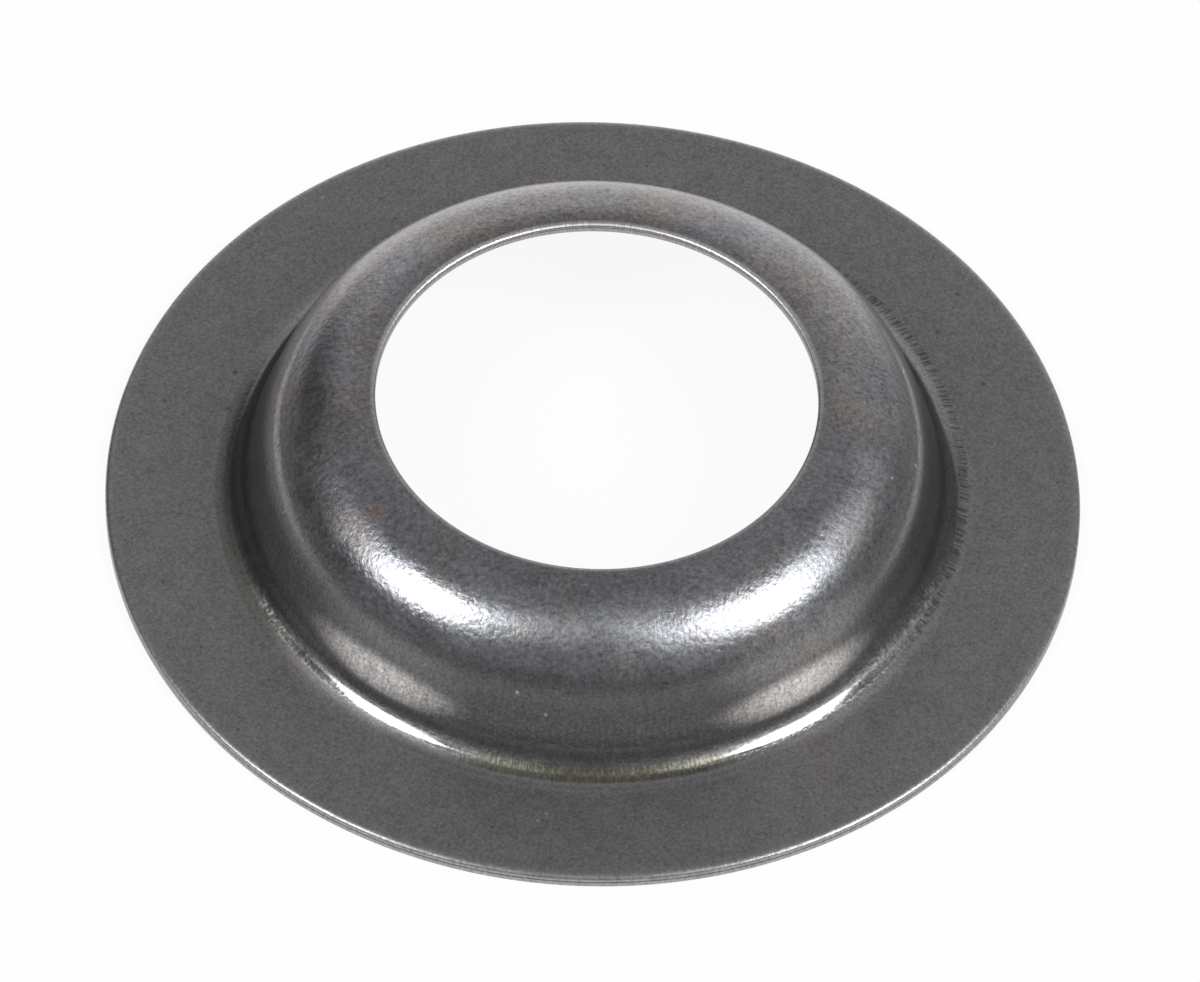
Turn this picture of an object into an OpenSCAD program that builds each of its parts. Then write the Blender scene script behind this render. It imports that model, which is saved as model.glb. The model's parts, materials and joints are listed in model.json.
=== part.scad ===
// Spring washer: a cup and flange pressed in one piece from sheet steel.
// The flange is a flat ring that the end of a coil spring sits on, the cup centres the spring,
// and a shaft passes through the hole in the crown. Millimetres, +Z up along the shaft,
// origin on the axis in the plane of the flange's underside.

/* [Flange] */
// Outside diameter of the flat flange
flange_d = 60; // [50:0.5:80]
// Thickness of the sheet that the washer is pressed from
sheet_t = 0.8; // [0.5:0.05:1.2]
// Radius rolled onto the flange's upper edge when the blank was cut out
rim_roll_r = 0.25; // [0.05:0.01:0.4]

/* [Cup] */
// Height of the crown above the flange's underside
cup_h = 10; // [8:0.1:16]
// Slope of the cup's wall, measured up from the flange
wall_angle = 72; // [50:0.5:80]
// Radius of the hollow fillet between the flange and the wall
foot_r = 2.5; // [0.5:0.1:3]
// Radius of the rounded shoulder between the wall and the crown
shoulder_r = 6.75; // [4:0.05:8]

/* [Hole] */
// Diameter of the hole through the crown
hole_d = 27; // [20:0.5:32]
// Width of the flat land round the hole
land_w = 0.5; // [0.35:0.05:2]
// Thickness that drawing leaves in the sheet at the hole's lip
lip_t = 0.65; // [0.45:0.05:0.8]
// Radius rolled onto the hole's upper edge when it was punched
lip_roll_r = 0.2; // [0.05:0.01:0.3]

/* [Hidden] */
$fn = 180;

flange_r = flange_d / 2;
hole_r = hole_d / 2;

// The shoulder's arc is centred below the outer edge of the land
crown_r = hole_r + land_w;
shoulder_z = cup_h - shoulder_r;

// The wall runs straight from the shoulder's arc down to the fillet's arc and is tangent to both
foot_z = sheet_t + foot_r;
wall_rise = shoulder_z - foot_z + (shoulder_r + foot_r) * cos(wall_angle);
foot_centre_r = crown_r + (shoulder_r + foot_r) * sin(wall_angle) + wall_rise / tan(wall_angle);

// Under the shoulder the sheet thins from its full thickness at the wall to the lip's at the crown
under_shoulder_r = (shoulder_r - sheet_t - (shoulder_r - lip_t) * cos(wall_angle)) / (1 - cos(wall_angle));
under_shoulder_z = cup_h - lip_t - under_shoulder_r;

// How far a cutting shape runs past the face that it cuts
cut_past = 1;

// How far the ends of a wall line are sunk into the arcs that it meets, so that the edges cross
sink = 0.0002;

// A point on an arc, at an angle from straight up
function on_arc(centre, radius, angle) = centre + radius * [sin(angle), cos(angle)];

// Section of the space under a skin of the cup: under a shoulder, a wall and a hollow fillet, down to base_z
module under_skin(skin_shoulder_r, skin_shoulder_z, skin_foot_r, base_z) {
  shoulder_centre = [crown_r, skin_shoulder_z];
  foot_centre = [foot_centre_r, foot_z];
  difference() {
    union() {
      polygon([
        [0, base_z],
        [foot_centre_r, base_z],
        [foot_centre_r, foot_z - skin_foot_r],
        on_arc(foot_centre, skin_foot_r - sink, wall_angle + 180),
        on_arc(shoulder_centre, skin_shoulder_r - sink, wall_angle),
        on_arc(shoulder_centre, skin_shoulder_r, 0),
        [0, skin_shoulder_z + skin_shoulder_r]
      ]);
      intersection() {
        translate(shoulder_centre) circle(skin_shoulder_r);
        translate([0, skin_shoulder_z]) square([flange_r, skin_shoulder_r + cut_past]);
      }
    }
    translate(foot_centre) circle(skin_foot_r);
  }
}

// Section of the flange as a full disc, with its upper edge rolled
module flange_section() {
  square([flange_r, sheet_t - rim_roll_r]);
  square([flange_r - rim_roll_r, sheet_t]);
  translate([flange_r - rim_roll_r, sheet_t - rim_roll_r]) circle(rim_roll_r);
}

// Section of what the punch takes out of the crown, with the roll on its upper edge
module hole_section() {
  square([hole_r, cup_h + cut_past]);
  difference() {
    translate([0, cup_h - lip_roll_r]) square([hole_r + lip_roll_r, lip_roll_r + cut_past]);
    translate([hole_r + lip_roll_r, cup_h - lip_roll_r]) circle(lip_roll_r);
  }
}

// The whole washer, turned from one section of the sheet
module spring_washer() {
  color("dimgray")
    rotate_extrude()
      difference() {
        union() {
          under_skin(shoulder_r, shoulder_z, foot_r, 0);
          flange_section();
        }
        under_skin(under_shoulder_r, under_shoulder_z, foot_r + sheet_t, -cut_past);
        hole_section();
      }
}

spring_washer();
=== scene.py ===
# %% [markdown]
# # A spring washer in pressed steel
# The part is one piece: a disc of sheet steel drawn up into a round-shouldered cup, with a hole punched
# through its crown. The end of a coil spring stands on the flat flange and the cup keeps it centred.
# The imported model fixes every size, so we load it first and read its box.

# %% Load the imported model
import json
import math

import bpy
from mathutils import Matrix, Vector


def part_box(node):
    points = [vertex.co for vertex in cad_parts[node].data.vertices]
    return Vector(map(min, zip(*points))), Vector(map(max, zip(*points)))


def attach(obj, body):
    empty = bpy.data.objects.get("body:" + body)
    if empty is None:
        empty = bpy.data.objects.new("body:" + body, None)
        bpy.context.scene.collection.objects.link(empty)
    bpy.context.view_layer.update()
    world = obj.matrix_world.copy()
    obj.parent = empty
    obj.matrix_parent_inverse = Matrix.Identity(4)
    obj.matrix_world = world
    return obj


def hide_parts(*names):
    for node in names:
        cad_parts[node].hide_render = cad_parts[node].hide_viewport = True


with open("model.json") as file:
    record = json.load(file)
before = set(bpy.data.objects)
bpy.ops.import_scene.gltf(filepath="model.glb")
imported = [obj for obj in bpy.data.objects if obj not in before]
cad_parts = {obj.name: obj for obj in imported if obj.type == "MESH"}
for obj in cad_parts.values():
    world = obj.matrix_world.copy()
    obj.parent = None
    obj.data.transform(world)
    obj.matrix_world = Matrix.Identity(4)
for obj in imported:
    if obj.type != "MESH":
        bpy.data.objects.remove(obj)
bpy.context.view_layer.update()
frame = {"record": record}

# %% [markdown]
# ## The sizes of the pressing
# Overall sizes come from the model's box, and the hole and the sheet from the places where other parts
# meet the washer. What the box can't tell is repeated here: the slope of the wall and the radii of its
# bends. A press never leaves a square edge: the edge that met the tool first is rolled over, which is
# wider than it is high, and the lower edge keeps only a hair of roundness.

# %% Read and name the sizes
MM = 0.001
mounts = {mount["name"]: mount for mount in frame["record"]["mounts"]}
low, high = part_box("spring_washer")
hole = mounts["shaft_hole"]
hole_wall_h = hole["dims"]["length_mm"] * MM
hole_wall_top = hole["pos_m"][2] + hole_wall_h / 2

flange_r = (high.x - low.x) / 2
cup_h = high.z
sheet_t = mounts["spring_seat"]["pos_m"][2]
hole_r = hole["dims"]["r_mm"] * MM
lip_t = cup_h - hole_wall_top + hole_wall_h
lip_roll_h = cup_h - hole_wall_top

wall_angle = math.radians(72)
shoulder_r = 6.75 * MM
foot_r = 2.5 * MM
land_w = 0.5 * MM
lip_roll_w = 0.34 * MM
rim_roll_h = 0.25 * MM
rim_roll_w = 0.42 * MM
lower_edge_r = 0.06 * MM

sizes = {
    "Flange radius": flange_r,
    "Sheet thickness": sheet_t,
    "Cup height": cup_h,
    "Wall angle": wall_angle,
    "Shoulder radius": shoulder_r,
    "Foot radius": foot_r,
    "Hole radius": hole_r,
    "Land width": land_w,
    "Lip thickness": lip_t,
    "Lip roll width": lip_roll_w,
    "Lip roll height": lip_roll_h,
    "Rim roll width": rim_roll_w,
    "Rim roll height": rim_roll_h,
    "Lower edge radius": lower_edge_r,
}
for name, value in sizes.items():
    print(f"{name}: {value:.4f} rad" if name == "Wall angle" else f"{name}: {value / MM:.3f} mm")

# %% [markdown]
# ## A helper for node trees
# Shapes, finishes and light are all node trees here, and a tree is easier to read as arithmetic than as
# boxes and links. A wire is one output socket, and every operator on it adds the Math node that works it
# out. A bench adds any other node to a tree, with its settings first and its sockets after.

# %% Wires and benches
class Wire:
    """One output socket that can be added, scaled and compared like a number."""

    def __init__(self, bench, socket):
        self.bench = bench
        self.socket = socket

    def also(self, output):
        """Another output of the same node."""
        return Wire(self.bench, pick(self.socket.node.outputs, output))

    def math(self, operation, *values):
        """The result of one Math node."""
        return self.bench.add("ShaderNodeMath", {"operation": operation}, dict(enumerate(values)))

    def __add__(self, other):
        return self.math("ADD", self, other)

    def __radd__(self, other):
        return self.math("ADD", other, self)

    def __sub__(self, other):
        return self.math("SUBTRACT", self, other)

    def __rsub__(self, other):
        return self.math("SUBTRACT", other, self)

    def __mul__(self, other):
        return self.math("MULTIPLY", self, other)

    def __rmul__(self, other):
        return self.math("MULTIPLY", other, self)

    def __truediv__(self, other):
        return self.math("DIVIDE", self, other)

    def __rtruediv__(self, other):
        return self.math("DIVIDE", other, self)

    def __pow__(self, other):
        return self.math("POWER", self, other)

    def __neg__(self):
        return self.math("MULTIPLY", self, -1.0)

    def __abs__(self):
        return self.math("ABSOLUTE", self)

    def sin(self):
        return self.math("SINE", self)

    def cos(self):
        return self.math("COSINE", self)

    def atan2(self, other):
        return self.math("ARCTAN2", self, other)

    def at_most(self, other):
        return self.math("MINIMUM", self, other)

    def at_least(self, other):
        return self.math("MAXIMUM", self, other)

    def rises(self, start, end):
        """0 below start, 1 above end, and a smooth ramp between them."""
        return self.bench.add(
            "ShaderNodeMapRange",
            {"interpolation_type": "SMOOTHSTEP"},
            {"Value": self, "From Min": start, "From Max": end},
        )

    def within(self, start, end, fade):
        """1 between start and end, fading to 0 outside them."""
        return self.rises(start - fade, start) * (1 - self.rises(end, end + fade))


def pick(sockets, key):
    """A socket by its number, or the one in use that has that name."""
    if isinstance(key, int):
        return sockets[key]
    return next(socket for socket in sockets if socket.name == key and socket.enabled)


class Bench:
    """Adds nodes to one tree."""

    def __init__(self, tree):
        self.tree = tree

    def add(self, kind, settings=None, sockets=None):
        """A new node, with its settings set before its sockets. Gives its first output."""
        node = self.tree.nodes.new(kind)
        for name, value in (settings or {}).items():
            setattr(node, name, value)
        for key, value in (sockets or {}).items():
            for one in value if isinstance(value, list) else [value]:
                if isinstance(one, Wire):
                    self.tree.links.new(one.socket, pick(node.inputs, key))
                else:
                    pick(node.inputs, key).default_value = one
        return Wire(self, pick(node.outputs, 0)) if node.outputs else None

    def vector(self, x, y, z):
        """Three values as one vector."""
        return self.add("ShaderNodeCombineXYZ", None, {"X": x, "Y": y, "Z": z})

    def mix_colour(self, factor, first, second, blend="MIX"):
        """Two colours, mixed or multiplied by a factor."""
        settings = {"data_type": "RGBA", "blend_type": blend}
        colours = {"Factor": factor, "A": first, "B": second}
        return self.add("ShaderNodeMix", settings, colours).also("Result")


print("wires and benches are ready")

# %% [markdown]
# ## The section of the sheet
# A pressing like this is round, so all of its shape is in one cut through the sheet, which a turn about
# the axis sweeps into the part. The cut is a closed chain of stretches, arcs and straight runs that flow
# into each other, walked out along the upper skin and back along the lower one. Lathing a drawn profile
# would freeze the numbers, so the chain is worked out inside a node tree from named sizes: each stretch
# is a grid whose width becomes the turn and whose height becomes the way along the stretch.

# %% Start the tree and its inputs
revolve = bpy.data.node_groups.new("washer_revolve", "GeometryNodeTree")
revolve.is_modifier = True
face = revolve.interface
inputs = {name: face.new_socket(name, in_out="INPUT", socket_type="NodeSocketFloat") for name in sizes}
inputs["Turn steps"] = face.new_socket("Turn steps", in_out="INPUT", socket_type="NodeSocketInt")
inputs["Finish"] = face.new_socket("Finish", in_out="INPUT", socket_type="NodeSocketMaterial")
face.new_socket("Washer", in_out="OUTPUT", socket_type="NodeSocketGeometry")

shop = Bench(revolve)
sheet = shop.add("NodeGroupInput")
size = {name: sheet.also(name) for name in inputs}
print("the tree takes", ", ".join(inputs))

# %% Work out the points where the stretches meet
crown_r = size["Hole radius"] + size["Land width"]
shoulder_z = size["Cup height"] - size["Shoulder radius"]
foot_z = size["Sheet thickness"] + size["Foot radius"]
slope_sin = size["Wall angle"].sin()
slope_cos = size["Wall angle"].cos()
bends_r = size["Shoulder radius"] + size["Foot radius"]
wall_rise = shoulder_z - foot_z + bends_r * slope_cos
foot_centre_r = crown_r + bends_r * slope_sin + wall_rise * slope_cos / slope_sin

lip_under_z = size["Cup height"] - size["Lip thickness"]
thinned_r = size["Shoulder radius"] - size["Lip thickness"]
under_shoulder_r = (
    size["Shoulder radius"] - size["Sheet thickness"] - thinned_r * slope_cos
) / (1 - slope_cos)
under_shoulder_z = lip_under_z - under_shoulder_r
under_foot_r = size["Foot radius"] + size["Sheet thickness"]
print("the section has its corners")

# %% Two kinds of stretch
grid_place = shop.add("ShaderNodeSeparateXYZ", None, {"Vector": shop.add("GeometryNodeInputPosition")})
turn_angle = (grid_place.also("X") + 0.5) * -math.tau
way_along = grid_place.also("Y") + 0.5
turn_cos = turn_angle.cos()
turn_sin = turn_angle.sin()
UP, OUT, DOWN, IN = 0.0, math.pi / 2, math.pi, math.pi * 1.5
stretches = []


def sweep(steps, radius, height, upper, cut):
    """A stretch turned about the axis, with its side of the sheet stored on its points."""
    flat = shop.add(
        "GeometryNodeMeshGrid",
        None,
        {"Size X": 1.0, "Size Y": 1.0, "Vertices X": size["Turn steps"] + 1, "Vertices Y": steps + 1},
    )
    place = shop.vector(radius * turn_cos, radius * turn_sin, height)
    ring = shop.add("GeometryNodeSetPosition", None, {"Geometry": flat, "Position": place})
    for name, value in (("upper_skin", upper), ("cut_edge", cut)):
        stored = {"data_type": "FLOAT", "domain": "POINT"}
        ring = shop.add(
            "GeometryNodeStoreNamedAttribute",
            stored,
            {"Geometry": ring, "Name": name, "Value": float(value)},
        )
    stretches.append(ring)


def run(steps, start, end, upper=False, cut=False):
    """A straight stretch between two points of the section, in a number of steps."""
    radius = start[0] + (end[0] - start[0]) * way_along
    height = start[1] + (end[1] - start[1]) * way_along
    sweep(steps, radius, height, upper, cut)


def bend(steps, centre, width, height, start, end, upper=False, cut=False):
    """A round stretch about a centre, in steps between two angles measured from straight up."""
    angle = start + (end - start) * way_along
    sweep(steps, centre[0] + width * angle.sin(), centre[1] + height * angle.cos(), upper, cut)


print("runs and bends are ready")

# %% Walk out along the upper skin
edge_r = size["Lower edge radius"]
lip_w, lip_h = size["Lip roll width"], size["Lip roll height"]
rim_w, rim_h = size["Rim roll width"], size["Rim roll height"]
hole_wall = size["Hole radius"]
rim_wall = size["Flange radius"]
flange_top = size["Sheet thickness"]
crown_top = size["Cup height"]
slope = size["Wall angle"]


def on_bend(centre, radius, sine, cosine):
    """The point of a bend in the direction of a sine and cosine from straight up."""
    return centre[0] + radius * sine, centre[1] + radius * cosine


shoulder_centre = (crown_r, shoulder_z)
foot_centre = (foot_centre_r, foot_z)
wall_top = on_bend(shoulder_centre, size["Shoulder radius"], slope_sin, slope_cos)
wall_foot = on_bend(foot_centre, size["Foot radius"], -slope_sin, -slope_cos)

run(4, (hole_wall, lip_under_z + edge_r), (hole_wall, crown_top - lip_h), upper=True, cut=True)
bend(8, (hole_wall + lip_w, crown_top - lip_h), lip_w, lip_h, -OUT, UP, upper=True, cut=True)
run(2, (hole_wall + lip_w, crown_top), (crown_r, crown_top), upper=True)
bend(40, shoulder_centre, size["Shoulder radius"], size["Shoulder radius"], UP, slope, upper=True)
run(10, wall_top, wall_foot, upper=True)
bend(20, foot_centre, size["Foot radius"], size["Foot radius"], slope + DOWN, DOWN, upper=True)
run(14, (foot_centre_r, flange_top), (rim_wall - rim_w, flange_top), upper=True)
bend(8, (rim_wall - rim_w, flange_top - rim_h), rim_w, rim_h, UP, OUT, upper=True, cut=True)
run(4, (rim_wall, flange_top - rim_h), (rim_wall, edge_r), upper=True, cut=True)
print(len(stretches), "stretches on the upper skin")

# %% Walk back along the lower skin
under_shoulder = (crown_r, under_shoulder_z)
inner_foot = on_bend(foot_centre, under_foot_r, -slope_sin, -slope_cos)
inner_top = on_bend(under_shoulder, under_shoulder_r, slope_sin, slope_cos)

bend(3, (rim_wall - edge_r, edge_r), edge_r, edge_r, OUT, DOWN, cut=True)
run(8, (rim_wall - edge_r, 0.0), (foot_centre_r, 0.0))
bend(12, foot_centre, under_foot_r, under_foot_r, DOWN, slope + DOWN)
run(5, inner_foot, inner_top)
bend(16, under_shoulder, under_shoulder_r, under_shoulder_r, slope, UP)
run(2, (crown_r, lip_under_z), (hole_wall + edge_r, lip_under_z))
bend(3, (hole_wall + edge_r, lip_under_z + edge_r), edge_r, edge_r, DOWN, IN, cut=True)
print(len(stretches), "stretches in the closed section")

# %% Join the stretches into one skin
weld_gap = 2e-6
joined = shop.add("GeometryNodeJoinGeometry", None, {"Geometry": stretches})
welded = shop.add("GeometryNodeMergeByDistance", None, {"Geometry": joined, "Distance": weld_gap})
smooth = shop.add("GeometryNodeSetShadeSmooth", None, {"Geometry": welded})
real = shop.add("GeometryNodeRealizeInstances", None, {"Geometry": smooth})
finished = shop.add("GeometryNodeSetMaterial", None, {"Geometry": real, "Material": size["Finish"]})
shop.add("NodeGroupOutput", None, {"Washer": finished})
print(len(revolve.nodes), "nodes turn the section into the washer")

# %% [markdown]
# ## The finish of the steel
# The steel is bare and dark, a little oily from the press. The flange kept the matt skin of the rolled
# sheet, the crown was burnished as it slid over the punch, the steep wall is satin and its darker grey is
# painted shade, and the fillet is the brightest of all because the die's edge dragged across it.
# A material for each would leave hard borders, and on the real part one finish flows into the next, so
# one material holds them all. It reads the place on the part, in millimetres, as a radius, a height and
# a turn in degrees, which is 0 at the front and grows to the right.

# %% Start the material and its coordinates
steel = bpy.data.materials.new("pressed_steel")
steel.use_nodes = True
steel.node_tree.nodes.clear()
mill = Bench(steel.node_tree)

object_place = mill.add("ShaderNodeTexCoord").also("Object")
scaled = {"Vector": object_place, "Scale": 1 / MM}
place_mm = mill.add("ShaderNodeVectorMath", {"operation": "SCALE"}, scaled)
axes = mill.add("ShaderNodeSeparateXYZ", None, {"Vector": place_mm})
x_mm, y_mm, z_mm = (axes.also(axis) for axis in "XYZ")
radius_mm = (x_mm * x_mm + y_mm * y_mm) ** 0.5
turn_deg = x_mm.atan2(-y_mm) * (180 / math.pi)
cut_edge = mill.add("ShaderNodeAttribute", {"attribute_name": "cut_edge"}).also("Fac")
upper_skin = mill.add("ShaderNodeAttribute", {"attribute_name": "upper_skin"}).also("Fac")
print("the finish reads radius, height and turn")

# %% Radii where the finishes meet
crown_mm = (hole_r + land_w) / MM
bends_mm = (shoulder_r + foot_r) / MM
rise_mm = (cup_h - shoulder_r - sheet_t - foot_r) / MM + bends_mm * math.cos(wall_angle)
foot_end_mm = crown_mm + bends_mm * math.sin(wall_angle) + rise_mm / math.tan(wall_angle)
foot_top_mm = foot_end_mm - foot_r / MM * math.sin(wall_angle)
shoulder_end_mm = crown_mm + shoulder_r / MM * math.sin(wall_angle)
print(f"wall from {shoulder_end_mm:.2f} to {foot_top_mm:.2f} mm, fillet to {foot_end_mm:.2f} mm")

# %% Sides of the part
# Each share is 1 on its own side of the part and fades to 0 on the other
sideways, backward = x_mm / radius_mm, y_mm / radius_mm
toward_front = (-backward).rises(0.1, 0.9)
near_side = (-backward).rises(-0.35, 0.05)
beside = 1 - abs(backward).rises(0.35, 0.8)
on_right = sideways.rises(-0.2, 0.3)
left_front = (1 - on_right) * toward_front

# The die rubbed the foot of the wall and dragged along the fillet over these degrees of turn
rubbed = turn_deg.rises(-68.0, -52.0) * (1 - turn_deg.rises(54.0, 76.0))
dragged = turn_deg.rises(-64.0, -46.0) * (1 - turn_deg.rises(42.0, 66.0))
print("front, back, left and right are told apart")

# %% Flange, crown and fillet
on_flange = (radius_mm + 0.26 * left_front).rises(foot_end_mm - 1.2, foot_end_mm - 0.6)
on_crown = 1 - radius_mm.rises(shoulder_end_mm - 0.9, shoulder_end_mm)
on_fillet = radius_mm.within(foot_top_mm + 0.78, foot_end_mm - 1.25, 0.15) * dragged
print("flange, crown and fillet have their places")

# %% Wall and the line of the punch
# A painted highlight: a paler line high on the wall, on a ring that runs off centre, stands in for the
# table reflected past the rim
highlight_line_mm = radius_mm + 0.95 * backward + 0.8 * backward.at_least(0.0) - 0.22 * sideways
painted_highlight_line = highlight_line_mm.within(shoulder_end_mm - 0.80, shoulder_end_mm - 0.72, 0.25)
painted_highlight_line = painted_highlight_line * (1 - toward_front) * (-backward).rises(-0.6, -0.1)

# The wall's darker grey is painted shade. It starts higher and softer at the sides, and ends just above
# the polished fillet
wall_fade = 0.45 + 0.45 * beside
wall_top_mm = shoulder_end_mm - 0.85 - 1.2 * beside
wall_end_mm = foot_top_mm + 0.80 - 0.03 * on_right + 0.40 * (1 - rubbed) * near_side
above_wall_end = 1 - (radius_mm - wall_end_mm).rises(-0.12, 0.12)
below_wall_top = (radius_mm - wall_top_mm).rises(-wall_fade, wall_fade)
# The painted highlight line is kept out of the wall's painted shade
on_wall = below_wall_top * above_wall_end * (1 - (0.5 + 0.2 * on_right) * painted_highlight_line)
# Painted shade: the wall is darker still toward its foot, more on the left than on the right, except where
# the die rubbed
wall_shade = radius_mm.rises(foot_top_mm - 0.2, foot_top_mm + 0.3)
wall_shade = wall_shade * (1 - rubbed) * (0.7 - 0.3 * on_right)
print("the wall lies between shoulder and fillet")

# %% [markdown]
# ## Grain, streaks and specks
# Close up, no part of the skin is even. The sheet has a fine grain from the rolls, the cup is clouded, and
# lines run down it in the direction that the metal was drawn. A picture of steel could be wrapped round
# the part, but noise on the place has no seams, and it gives grain and clouds at any size. The lines need
# noise that is fine round the axis and long down the slope, so the place is turned into a direction about
# the axis, spread out, and a distance down the section.

# %% Grain of the sheet and streaks of the draw
def noise(place, scale, detail=2.0, roughness=0.5, shift=0.0):
    """Soft random values about 0, with a scale in waves per millimetre."""
    apart = {"Vector": place, 1: (shift, shift, shift)}
    moved = mill.add("ShaderNodeVectorMath", {"operation": "ADD"}, apart)
    values = {"Vector": moved, "Scale": scale, "Detail": detail, "Roughness": roughness}
    return mill.add("ShaderNodeTexNoise", None, values) - 0.5


def drawn(waves, down):
    """The place as a direction about the axis, spread out, and a distance down the section."""
    return mill.vector(sideways * waves, backward * waves, (radius_mm - z_mm) * down)


fine_grain = noise(place_mm, 5.5, detail=3.0, roughness=0.65)
pebbles = noise(place_mm, 3.0, detail=2.0, shift=7.0)
clouds = noise(place_mm, 0.5, detail=4.0, roughness=0.6, shift=17.0)
tint_field = noise(place_mm, 0.17, detail=2.0, shift=41.0)
crown_tint = noise(place_mm, 0.3, detail=3.0, shift=88.0)
streaks = noise(drawn(105.0, 0.7), 1.0, detail=2.0)
print("grain, pebbles, clouds, tints and streaks are ready")

# %% Specks scattered over the skin
SPECK_CELL = 2.6
cells = mill.add(
    "ShaderNodeTexVoronoi",
    {"voronoi_dimensions": "2D"},
    {"Vector": place_mm, "Scale": 1 / SPECK_CELL},
)
chance = mill.add("ShaderNodeSeparateColor", None, {"Color": cells.also("Color")})
speck_core = 1 - (cells * SPECK_CELL).rises(0.05, 0.13)
dark_specks = speck_core * chance.rises(0.94, 0.95) * on_flange
pale_specks = speck_core * chance.rises(0.62, 0.64) * on_crown
print("one speck at most in each", SPECK_CELL, "mm cell")

# %% [markdown]
# ## Marks of the draw round the foot
# Where the cup turns into the flange, the edge of the die scored the sheet. Short ticks point out from
# the axis, deepest on the right, where their ring runs a little off centre. On the left, and more faintly
# on the right, the same band is frayed, and its bright grains are painted glints. At the front it kept a
# trace of old drawing oil, olive against the grey, with painted glints in it and painted shade just
# outside it.
# Marks as fine as these would take too many faces to model. Each is a band between two radii and two
# turns, broken up by noise, so it is moved or widened by changing one number.

# %% Ticks, frayed grains with painted glints, and painted shade
def arc_band(reach, inner, outer, blur, start, end, fade):
    """1 between two radii, in millimetres, and two turns, in degrees, fading to 0 outside them."""
    return reach.within(inner, outer, blur) * turn_deg.within(start, end, fade)


strokes = noise(drawn(200.0, 0.15), 1.0, detail=2.0, shift=5.0)
tick_reach = noise(drawn(80.0, 0.0), 1.0, detail=1.0, shift=29.0) * 0.6
side_mm = radius_mm - 0.8 * backward + tick_reach
front_mm = radius_mm + 0.5 * tick_reach
ticks_right = arc_band(side_mm, 22.6, 23.05, blur=0.15, start=68.0, end=136.0, fade=16.0)
ticks_front = arc_band(front_mm, 22.52, 22.9, blur=0.12, start=-18.0, end=22.0, fade=8.0)
scored = strokes.rises(-0.03, 0.06) * ticks_right.at_least(ticks_front) * upper_skin

grains = noise(place_mm, 4.0, detail=2.0, shift=51.0)
# Painted glints: pale grains on the frayed band, on the left and more faintly on the right
frayed_left = arc_band(radius_mm, 22.2, 22.5, blur=0.15, start=-58.0, end=-47.0, fade=10.0)
frayed_right = arc_band(side_mm, 22.25, 22.6, blur=0.2, start=52.0, end=68.0, fade=12.0)
frayed = (0.3 * frayed_right).at_least(frayed_left) * (grains + 0.6 * strokes).rises(-0.04, 0.16)
painted_glint_marks = frayed * upper_skin
# Painted shade: a darker band just outside the ticks and the oil at the front
painted_front_shade = arc_band(radius_mm, 22.8, 23.2, blur=0.3, start=-26.0, end=28.0, fade=10.0) * upper_skin
print("ticks and frayed grains are placed")

# %% Trace of oil, with painted glints
oil_front = arc_band(radius_mm, 22.18, 22.8, blur=0.2, start=-14.0, end=18.0, fade=9.0)
oil_left = arc_band(radius_mm, 22.5, 23.1, blur=0.3, start=-104.0, end=-60.0, fade=14.0)
oil = oil_front.at_least(0.5 * oil_left) * upper_skin
# Painted glints: pale strokes in the inner part of the oil band, dimmer in its middle
inner_half = 1 - radius_mm.rises(22.45, 22.6)
off_middle = 0.45 + 0.55 * abs(turn_deg - 1.0).rises(2.0, 9.0)
glints = (strokes + 0.6 * grains).rises(-0.06, 0.16) * oil_front * inner_half * off_middle * upper_skin
print("the oil and its glints are placed")

# %% [markdown]
# ## Rubbed spots with painted highlights, rust, pits and flecks
# Low on the wall two broad spots, left and right, are glossier rubbed steel, and their pale colour is a
# painted highlight, standing in for the lamps' glitter on the flange as the wall reflects it. The crown
# has one spot of rust, and single pits and flecks lie here and there. Scattering them by chance would
# never put one in its place, so each has a turn and a radius of its own. A pit or fleck is small and the
# skin under it may be steep, so it is measured as a plain distance from a point of the skin.

# %% Burnish with painted highlights, and rust
def patch(turn, radius, half_round, half_out):
    """1 in the middle of a patch and 0 past its edge, with its half widths in millimetres."""
    round_axis = (turn_deg - turn) * radius_mm * (math.pi / 180 / half_round)
    outward = (radius_mm - radius) / half_out
    return 1 - (round_axis * round_axis + outward * outward).rises(0.0, 1.0)


# Painted highlight: two rubbed spots and a faint rubbed ring are paler than the steel, standing in for the
# flange's glitter reflected in the wall; the spots are also glossier
rubbed_ring = radius_mm.rises(20.7, 21.1) * (1 - radius_mm.rises(21.15, 21.5))
RUB_HIGHLIGHT_ROUND, RUB_HIGHLIGHT_OUT, HALO_ROUND = 7.4, 0.52, 7.0
left_rub_highlight = patch(-36.5, 21.10, RUB_HIGHLIGHT_ROUND, RUB_HIGHLIGHT_OUT) ** 2 + 0.12 * patch(-36.0, 20.7, HALO_ROUND, 0.9)
right_rub_highlight = patch(38.0, 21.12, RUB_HIGHLIGHT_ROUND, RUB_HIGHLIGHT_OUT) ** 2 + 0.2 * patch(40.0, 20.2, HALO_ROUND, 1.2)
rub_and_highlight_spots = left_rub_highlight + right_rub_highlight
burnish_and_painted_highlight = (0.05 * rubbed_ring + 0.78 * rub_and_highlight_spots) * upper_skin * (0.9 + 0.4 * streaks + 0.7 * fine_grain)
rust_grain = noise(place_mm, 2.2, detail=3.0, shift=63.0).rises(-0.08, 0.06)
rust = patch(-54.2, 16.1, half_round=0.75, half_out=0.38) * rust_grain * upper_skin
print("burnish and rust are placed")

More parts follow.
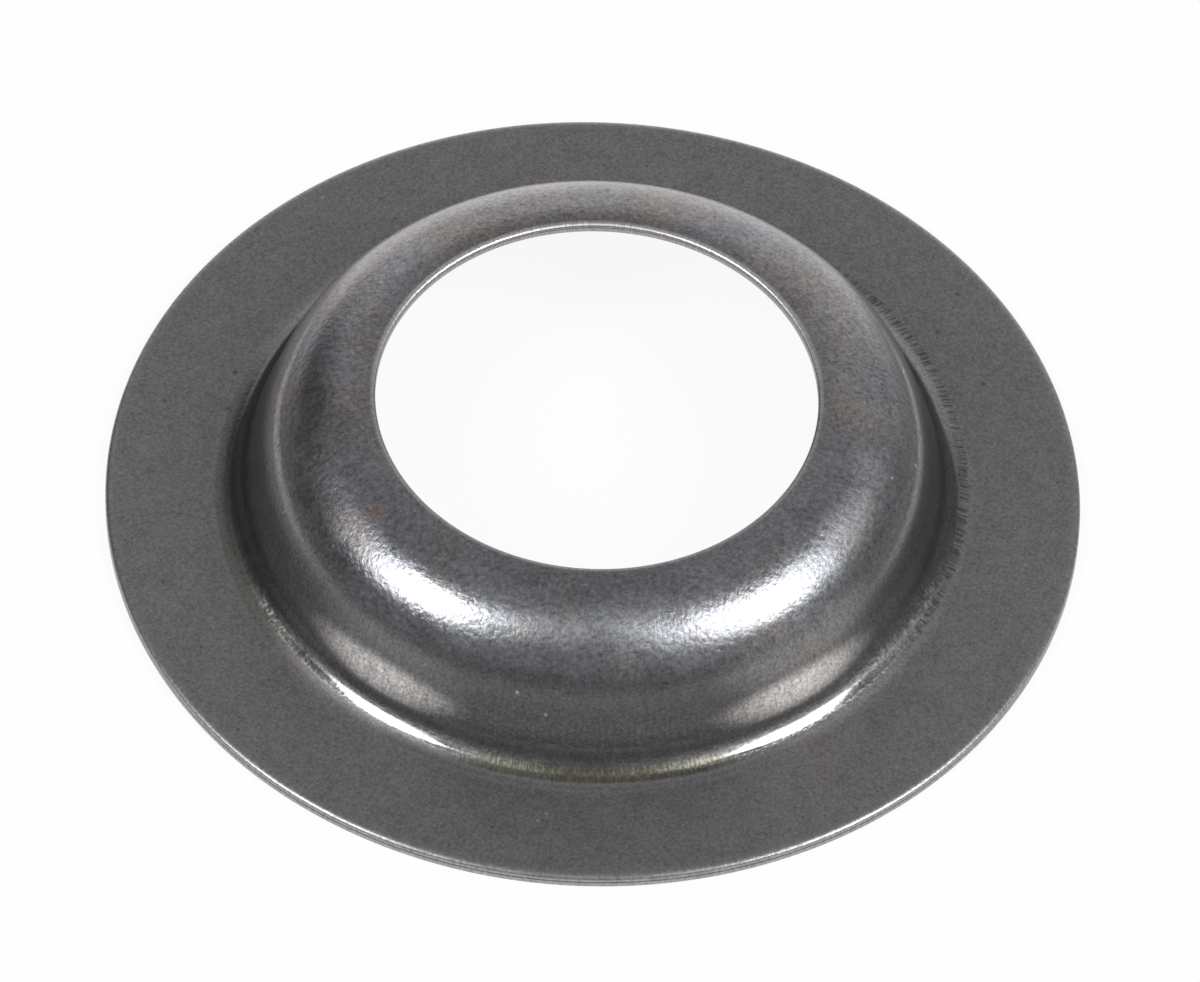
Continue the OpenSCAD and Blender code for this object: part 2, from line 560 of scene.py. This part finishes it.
# %% Points of the upper skin
def skin_height(radius):
    """Height of the upper skin at a radius, in millimetres."""
    if radius > foot_end_mm:
        return sheet_t / MM
    if radius > foot_top_mm:
        return (sheet_t + foot_r) / MM - math.sqrt((foot_r / MM) ** 2 - (foot_end_mm - radius) ** 2)
    arc_radius = min(radius, shoulder_end_mm)
    shoulder_mm = shoulder_r / MM
    arc_rise = math.sqrt(shoulder_mm ** 2 - (arc_radius - crown_mm) ** 2)
    arc_height = cup_h / MM - shoulder_mm + arc_rise
    return arc_height - (radius - arc_radius) * math.tan(wall_angle)


def spot(turn, radius, half):
    """1 at a point of the upper skin, fading to 0 at half the spot's width from it."""
    angle = math.radians(turn)
    centre = (radius * math.sin(angle), -radius * math.cos(angle), skin_height(radius))
    ends = {0: place_mm, 1: centre}
    reach = mill.add("ShaderNodeVectorMath", {"operation": "DISTANCE"}, ends).also("Value")
    return 1 - reach.rises(0.0, half)


print(f"the skin is {skin_height(foot_top_mm):.2f} mm high where the wall meets the fillet")

# %% Single pits and flecks
# Each is a turn in degrees and a radius in millimetres
PIT_HALF, FLECK_HALF = 0.26, 0.17
pits = [(123, 25.1), (127, 27.9), (112, 25.8), (-102, 27.3), (-103, 23.4), (-110, 23.9)]
flecks = [
    (-142, 28.8), (-74, 17.7), (-55.3, 16.3), (-55, 19.0), (-53.1, 16.0), (-11.6, 20.3),
    (-6.4, 20.7), (-5.6, 25.9), (-4.6, 25.3), (77, 18.6), (84, 19.7), (105, 19.4),
]
lone_pits = sum(spot(turn, radius, PIT_HALF) for turn, radius in pits)
lone_flecks = sum(spot(turn, radius, FLECK_HALF) for turn, radius in flecks)
dark_marks = (dark_specks + lone_pits).at_most(1.0) * upper_skin
pale_marks = (pale_specks * 0.5 + lone_flecks).at_most(1.0) * upper_skin
print(len(pits), "pits and", len(flecks), "flecks")

# %% [markdown]
# ## Colour
# Bare steel takes its colour from what it reflects, so its own colours are close greys: the sheet and the
# paler metal of the cut edges, with a breath of brown and blue on the crown. The darker grey of the wall
# is painted shade, and the pale spots low on it are painted highlights. A ramp over the radius could hold
# the greys but not the marks, so each colour is mixed in by its own mask. The grain multiplies what is
# there and shifts it only a little.

# %% Colour of the steel
SHEET_GREY = (0.278, 0.273, 0.276, 1.0)
CROWN_GREY = (0.325, 0.322, 0.334, 1.0)
# The wall's two greys are painted shade, darker than the steel itself
WALL_PAINTED_SHADE_GREY = (0.132, 0.131, 0.132, 1.0)
WALL_PAINTED_SHADE_DARK = (0.05, 0.05, 0.05, 1.0)
OIL_OLIVE = (0.142, 0.138, 0.114, 1.0)
# Pale grey of the painted highlights on the wall's rubbed spots
BURNISH_HIGHLIGHT_GREY = (0.90, 0.87, 0.835, 1.0)
WARM_TINT = (1.015, 1.0, 0.985, 1.0)
COOL_TINT = (0.99, 1.0, 1.012, 1.0)
CROWN_BROWN = (1.045, 0.988, 0.945, 1.0)
CROWN_BLUE = (0.972, 1.0, 1.036, 1.0)

plain = mill.mix_colour(on_crown, SHEET_GREY, CROWN_GREY)
# Here the wall takes its painted shade
plain = mill.mix_colour(on_wall, plain, mill.mix_colour(wall_shade, WALL_PAINTED_SHADE_GREY, WALL_PAINTED_SHADE_DARK))
plain = mill.mix_colour(burnish_and_painted_highlight, plain, BURNISH_HIGHLIGHT_GREY)
plain = mill.mix_colour(oil, plain, OIL_OLIVE)
warmth = mill.mix_colour(tint_field.rises(-0.12, 0.12), COOL_TINT, WARM_TINT)
browned = (crown_tint + 0.12 * backward).rises(-0.15, 0.15)
bloom = mill.mix_colour(browned, CROWN_BLUE, CROWN_BROWN)
warmth = mill.mix_colour(on_crown * upper_skin, warmth, bloom)
tinted = mill.mix_colour(1.0, plain, warmth, blend="MULTIPLY")
print("the steel has its greys")

# %% Tone of the grain
tone = 1 + 1.5 * fine_grain + 1.1 * on_crown * pebbles + (0.2 + 0.3 * on_crown) * clouds
tone = tone + (0.45 - 0.3 * on_crown) * streaks * (1 - on_flange)
toned = mill.mix_colour(1.0, tinted, mill.vector(tone, tone, tone), blend="MULTIPLY")
print("the greys have their grain")

# %% Colour of the marks
RUST_BROWN = (0.42, 0.24, 0.14, 1.0)
# Dark of the pits, also used for painted shade
PIT_AND_SHADE_DARK = (0.06, 0.058, 0.056, 1.0)
# Pale of the flecks, and of the painted glints on the frayed band
FLECK_AND_GLINT_PALE = (0.72, 0.71, 0.68, 1.0)
# Pale of the painted glints in the oil
GLINT_PALE = (0.46, 0.45, 0.37, 1.0)
marks = [
    # The ticks and the painted shade at the front both take the dark of the pits
    ((0.65 * scored).at_least(0.35 * painted_front_shade), PIT_AND_SHADE_DARK),
    (0.6 * dark_marks, PIT_AND_SHADE_DARK),
    (0.6 * pale_marks, FLECK_AND_GLINT_PALE),
    (0.62 * painted_glint_marks, FLECK_AND_GLINT_PALE),
    (0.45 * glints, GLINT_PALE),
    (0.75 * rust, RUST_BROWN),
]
marked = toned
for share, mark_colour in marks:
    marked = mill.mix_colour(share, marked, mark_colour)
print(len(marks), "kinds of mark have their colours")

# %% Colour of the cut edges
EDGE_GREY = (0.36, 0.352, 0.345, 1.0)
# Dark of the painted reflection along each cut
EDGE_REFLECTION_DARK = (0.16, 0.155, 0.15, 1.0)
EDGE_BRIGHT = (0.66, 0.65, 0.64, 1.0)
# Painted reflection: a dark line along each cut, just below its rolled edge, stands in for a dark area
# that the cut reflects
rim_dark_reflection = z_mm.within(0.36, 0.45, 0.05)
hole_dark_reflection = z_mm.within(9.70, 9.76, 0.03)
edge_scores = noise(drawn(150.0, 3.0), 1.0, detail=2.0, shift=73.0)
edge_tone = 1 + 1.2 * edge_scores
edge = mill.mix_colour(rim_dark_reflection.at_least(hole_dark_reflection), EDGE_GREY, EDGE_REFLECTION_DARK)
worn_lip = z_mm.rises(9.82, 9.9) * (0.15 + 0.85 * backward.rises(-0.2, 0.6))
edge = mill.mix_colour(worn_lip, edge, EDGE_BRIGHT)
edge = mill.mix_colour(1.0, edge, mill.vector(edge_tone, edge_tone, edge_tone), blend="MULTIPLY")
colour = mill.mix_colour(cut_edge, marked, edge)
print("the cut edges have their colours")

# %% [markdown]
# ## Gloss and relief
# Gloss tells the finishes apart more than colour does: the smoother the skin, the sharper the reflections
# of the lamps. A slight grain in the relief breaks up their edges. Lines down the draw spread a reflection
# sideways round the cup, which is what an anisotropic gloss does. The flange was never drawn and has a
# plain gloss, so there are two, and the mask of the flange passes from one to the other.

# %% Gloss and relief of the steel
CROWN_ROUGH, WALL_ROUGH, FILLET_ROUGH, EDGE_ROUGH = 0.27, 0.42, 0.09, 0.38
cup_rough = (
    CROWN_ROUGH
    + on_wall * (1 - rub_and_highlight_spots) * (WALL_ROUGH - CROWN_ROUGH)
    + on_fillet * (1 - oil) * (FILLET_ROUGH - CROWN_ROUGH)
    + 0.05 * on_right * on_crown
    + 0.12 * clouds
)
cup_rough = cup_rough + cut_edge * (EDGE_ROUGH - cup_rough)
FLANGE_ROUGH = 0.46
flange_rough = FLANGE_ROUGH + 0.1 * clouds
flange_rough = flange_rough + cut_edge * (EDGE_ROUGH - flange_rough)

GRAIN_DEPTH = 0.02 * MM
smooth_fillet = 1 - 0.85 * on_fillet
cup_relief = (pebbles + 0.2 * fine_grain + 0.2 * streaks) * smooth_fillet
relief = cup_relief + on_flange * (0.6 * fine_grain - cup_relief)
bumped = mill.add("ShaderNodeBump", None, {"Strength": 1.0, "Distance": GRAIN_DEPTH, "Height": relief})
print("gloss and relief are ready")

# %% Join the two glosses
SIDEWAYS_SPREAD = 0.55
drawn_skin = {"Metallic": 1.0, "Roughness": cup_rough, "Anisotropic": SIDEWAYS_SPREAD}
rolled_skin = {"Metallic": 1.0, "Roughness": flange_rough}
glosses = [
    mill.add("ShaderNodeBsdfPrincipled", None, {"Base Color": colour, "Normal": bumped, **skin})
    for skin in (drawn_skin, rolled_skin)
]
gloss = mill.add("ShaderNodeMixShader", None, {0: on_flange, 1: glosses[0], 2: glosses[1]})
mill.add("ShaderNodeOutputMaterial", None, {"Surface": gloss})
print(len(steel.node_tree.nodes), "nodes in the finish")

# %% [markdown]
# ## Turn the section into a mesh
# The tree runs as a modifier. Its sizes are set by socket identifier before it is first evaluated, and
# what it makes is then copied into a plain mesh, so the part no longer depends on the tree.

# %% Make the washer
TURN_STEPS = 600
blank = bpy.data.objects.new("washer_blank", bpy.data.meshes.new("washer_blank"))
bpy.context.scene.collection.objects.link(blank)
press = blank.modifiers.new("press", "NODES")
press.node_group = revolve
for name, value in {**sizes, "Turn steps": TURN_STEPS, "Finish": steel}.items():
    press[inputs[name].identifier] = value

depsgraph = bpy.context.evaluated_depsgraph_get()
pressed = bpy.data.meshes.new_from_object(
    blank.evaluated_get(depsgraph), preserve_all_data_layers=True, depsgraph=depsgraph
)
blank.modifiers.remove(press)
blank.data = pressed
blank.name = "washer_pressing"
washer = blank
triangles = sum(len(polygon.vertices) - 2 for polygon in pressed.polygons)
print(len(pressed.vertices), "points and", triangles, "triangles in the washer")

# %% Seat the washer in the frame
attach(washer, "root")
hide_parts("spring_washer")
print("the washer rides on root")

# %% [markdown]
# ## The table
# A white table lies under the washer and shows all round it, in the picture and in the polished steel.
# Rays that the eye follows see it almost white, and all other light meets plain white paint, so the
# washer still throws a soft shadow.

# %% Lay the table
TABLE_HALF = 3.0
TABLE_GAP = 0.02 * MM
corners = [(x * TABLE_HALF, y * TABLE_HALF, -TABLE_GAP) for x, y in ((-1, -1), (1, -1), (1, 1), (-1, 1))]
table_mesh = bpy.data.meshes.new("table")
table_mesh.from_pydata(corners, [], [(0, 1, 2, 3)])
table = bpy.data.objects.new("table", table_mesh)
bpy.context.scene.collection.objects.link(table)

white_paint = bpy.data.materials.new("white_table")
white_paint.use_nodes = True
white_paint.node_tree.nodes.clear()
paint = Bench(white_paint.node_tree)
ray = paint.add("ShaderNodeLightPath")
mirrored = ray.also("Is Glossy Ray").at_least(ray.also("Is Transmission Ray"))
seen = ray.also("Is Camera Ray").at_least(mirrored)
GLOW_SHARE = 0.92
PAINT_WHITE = (0.88, 0.88, 0.88, 1.0)
PURE_WHITE = (1.0, 1.0, 1.0, 1.0)
matt = paint.add("ShaderNodeBsdfDiffuse", None, {"Color": PAINT_WHITE})
glow = paint.add("ShaderNodeEmission", None, {"Color": PURE_WHITE, "Strength": 1.0})
mixed = paint.add("ShaderNodeMixShader", None, {0: seen * GLOW_SHARE, 1: matt, 2: glow})
paint.add("ShaderNodeOutputMaterial", None, {"Surface": mixed})
table_mesh.materials.append(white_paint)
print("the table is laid")

# %% [markdown]
# ## The light
# Two softboxes stand to the left and right in front of the part, and their reflections are the two bright
# patches on the shoulder and again in the fillet. A picture of a studio could light the room too, but
# steel shows every lamp in it. So the room is plain: a grey ceiling, a paler wall behind, grey ones in
# front and on the right, and the white of the table at the horizon.

# %% Hang the softboxes
SOFTBOX_FAR = 1.1
SOFTBOX_GLOW = 10.5
# Direction from the part, then width and height in metres
softboxes = {
    "left": ((-0.62, -0.315, 0.715), 0.37, 0.46),
    "right": ((0.66, -0.302, 0.682), 0.41, 0.53),
}
for side, (direction, softbox_w, softbox_h) in softboxes.items():
    lamp = bpy.data.lights.new(f"softbox_{side}", "AREA")
    lamp.shape = "RECTANGLE"
    lamp.size, lamp.size_y = softbox_w, softbox_h
    lamp.energy = SOFTBOX_GLOW * math.pi * softbox_w * softbox_h
    holder = bpy.data.objects.new(f"softbox_{side}", lamp)
    bpy.context.scene.collection.objects.link(holder)
    aim = Vector(direction).normalized()
    holder.location = aim * SOFTBOX_FAR
    holder.rotation_euler = aim.to_track_quat("Z", "Y").to_euler()
    print("softbox on the", side, "is", softbox_w, "by", softbox_h, "m")

# %% Light the room
room = bpy.data.worlds.new("room")
bpy.context.scene.world = room
room.use_nodes = True
room.node_tree.nodes.clear()
air = Bench(room.node_tree)
direction_out = air.add("ShaderNodeTexCoord").also("Generated")
toward = air.add("ShaderNodeSeparateXYZ", None, {"Vector": direction_out})
right, away, up = (toward.also(axis) for axis in "XYZ")
CEILING, DIM, FRONT_WALL, SIDE_WALL, BACK_WALL, WHITE = 0.30, 0.05, 0.30, 0.31, 0.73, 0.85
on_left = (-right).rises(0.2, 0.6) * (1 - away.rises(0.6, 0.85))
overhead = up.rises(0.45, 0.8)
behind = (away - 0.9 * abs(right) + 0.13 * right).rises(0.14, 0.48) * (1 - up.rises(0.45, 0.75))
wall_height = up.rises(0.02, 0.4) * (1 - up.rises(0.5, 0.8))
right_wall = right.rises(0.3, 0.8) * away.rises(-0.2, 0.3) * wall_height
front_wall = (1 - away.rises(-0.7, 0.0)) * up.rises(-0.05, 0.1)
front_right = (0.90 * right - 0.38 * away + 0.2 * up).rises(0.82, 0.97)
horizon = (1 - up.rises(0.03, 0.09)) * away.rises(-0.4, 0.1) * (1 - 0.8 * on_left)
room_level = DIM + overhead * (CEILING - DIM)
for share, level in (
    (front_wall, FRONT_WALL),
    (right_wall, SIDE_WALL),
    (front_right, SIDE_WALL),
    (behind, BACK_WALL),
    (horizon, WHITE),
):
    room_level = room_level + share * (level - room_level)
sky = air.add("ShaderNodeBackground", None, {"Color": PURE_WHITE, "Strength": room_level})
air.add("ShaderNodeOutputWorld", None, {"Surface": sky})
print("the room is lit")

# %% [markdown]
# ## The camera
# The picture looks down on the washer from just over fifty degrees, through a long lens, with the camera
# a couple of degrees off level. Turning it by eye would bend the proportions, so its height, distance and
# lens were worked out from the outlines of the rim and the hole.

# %% Set the camera
PHOTO_W = 1200
CAMERA_FAR = 0.6882
CAMERA_UP = math.radians(51.04)
CAMERA_ROLL = math.radians(2.28)
FOCAL_PIXELS = 11174
AXIS_LEFT_PIXELS, AXIS_DOWN_PIXELS = 7.1, 6.2

camera_data = bpy.data.cameras.new("camera")
camera_data.sensor_width = 36.0
camera_data.lens = camera_data.sensor_width * FOCAL_PIXELS / PHOTO_W
camera_data.shift_x = AXIS_LEFT_PIXELS / PHOTO_W
camera_data.shift_y = AXIS_DOWN_PIXELS / PHOTO_W
camera_data.clip_start = 0.01
camera = bpy.data.objects.new("camera", camera_data)
bpy.context.scene.collection.objects.link(camera)
back = Vector((0.0, -math.cos(CAMERA_UP), math.sin(CAMERA_UP)))
turned = back.to_track_quat("Z", "Y").to_matrix() @ Matrix.Rotation(CAMERA_ROLL, 3, "Z")
camera.location = back * CAMERA_FAR
camera.rotation_euler = turned.to_euler()
bpy.context.scene.camera = camera
bpy.context.scene.view_settings.view_transform = "Standard"
print("lens:", round(camera_data.lens, 1), "mm")
